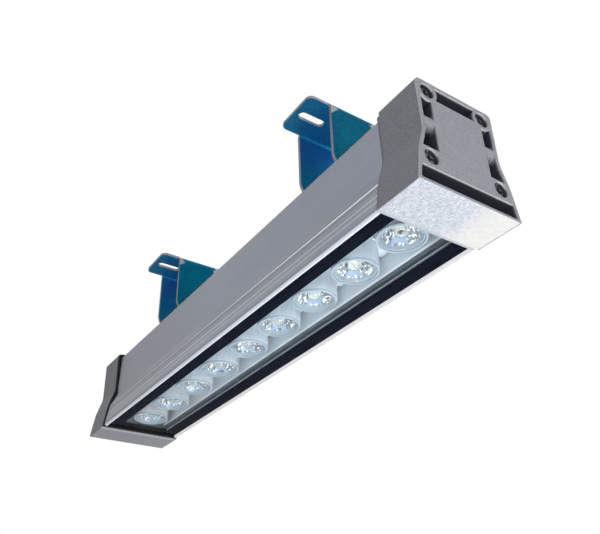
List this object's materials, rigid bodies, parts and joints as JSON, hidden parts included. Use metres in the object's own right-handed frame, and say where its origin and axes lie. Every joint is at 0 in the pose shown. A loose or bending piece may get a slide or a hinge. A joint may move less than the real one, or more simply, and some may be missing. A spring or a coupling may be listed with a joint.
{
  "type": "linear wall washer light",
  "caption": "Slim outdoor wall washer light: extruded body with lensed LEDs behind glass, hung from sliding, tilting brackets.",
  "frame": {"origin": "centre of the four fixing slots, on the mounting face at the top of the brackets", "axes": "+Z out of the mounting face, towards the wall or ceiling; +Y along the lamp, from the near end to the cable gland; +X across it"},
  "size_m": [0.0488, 0.315, 0.0874],
  "materials": {
    "housing_aluminium": "satin grey anodised extrusion",
    "cap_paint": "die-cast aluminium with fine grey powder paint, light-face side ground bright",
    "black_rubber": "matte black silicone rubber",
    "dark_screw": "dark oxide cross-head screw",
    "front_glass": "clear tempered glass with a printed black border",
    "led_board_white": "aluminium circuit board with white solder mask",
    "led_package": "white package with a yellow phosphor dome",
    "clear_lens": "clear moulded acrylic",
    "frosted_holder": "translucent pale plastic",
    "driver_board_green": "green glass-fibre circuit board",
    "ferrite": "dark ferrite core with taped winding",
    "capacitor_sleeve": "dark blue sleeve and case",
    "black_plastic": "black moulded case",
    "terminal_green": "green moulded terminal",
    "red_insulation": "red wire insulation",
    "black_insulation": "black wire insulation",
    "black_nylon": "black moulded nylon",
    "clip_steel": "bare stamped stainless sheet",
    "zinc_steel": "zinc-plated steel",
    "bracket_steel": "steel sheet under blue protective film, bare grey edges",
    "white_nylon": "white nylon"
  },
  "bodies": {
    "wall_mount": {"bracket_near": "bracket_steel", "bracket_far": "bracket_steel", "pivot_bolts": "zinc_steel", "pivot_washers": "zinc_steel", "friction_washers": "white_nylon", "spring_washers": "zinc_steel", "pivot_nuts": "zinc_steel"},
    "tilt_clips": {"clip_near": "clip_steel", "clip_far": "clip_steel", "clip_screws": "zinc_steel", "slot_nuts": "zinc_steel"},
    "lamp": {"housing_profile": "housing_aluminium", "end_cap_near": "cap_paint", "end_cap_far": "cap_paint", "gasket_near": "black_rubber", "gasket_far": "black_rubber", "cap_screws_near": "dark_screw", "cap_screws_far": "dark_screw", "front_glass": "front_glass", "glass_seal": "black_rubber", "led_board": "led_board_white", "board_screws": "zinc_steel", "led_1": "led_package", "led_2": "led_package", "led_3": "led_package", "led_4": "led_package", "led_5": "led_package", "led_6": "led_package", "led_7": "led_package", "led_8": "led_package", "led_9": "led_package", "lens_1": "clear_lens", "lens_2": "clear_lens", "lens_3": "clear_lens", "lens_4": "clear_lens", "lens_5": "clear_lens", "lens_6": "clear_lens", "lens_7": "clear_lens", "lens_8": "clear_lens", "lens_9": "clear_lens", "lens_holder_1": "frosted_holder", "lens_holder_2": "frosted_holder", "lens_holder_3": "frosted_holder", "lens_holder_4": "frosted_holder", "lens_holder_5": "frosted_holder", "lens_holder_6": "frosted_holder", "lens_holder_7": "frosted_holder", "lens_holder_8": "frosted_holder", "lens_holder_9": "frosted_holder", "driver_board": "driver_board_green", "driver_transformer": "ferrite", "driver_capacitors": "capacitor_sleeve", "driver_rectifier": "black_plastic", "driver_terminal": "terminal_green", "lead_positive": "red_insulation", "lead_negative": "black_insulation", "gland_body": "black_nylon", "gland_seal": "black_rubber", "gland_nut": "black_nylon", "gland_locknut": "black_nylon"}
  },
  "joints": [
    {"name": "tilt", "type": "hinge", "parent": "wall_mount", "child": "tilt_clips", "pos_m": [0, 0, -0.0274], "axis": [0, 1, 0], "range_deg": [-90, 90]},
    {"name": "slide", "type": "slide", "parent": "tilt_clips", "child": "lamp", "axis": [0, 1, 0], "range_m": [-0.0405, 0.0335]}
  ]
}
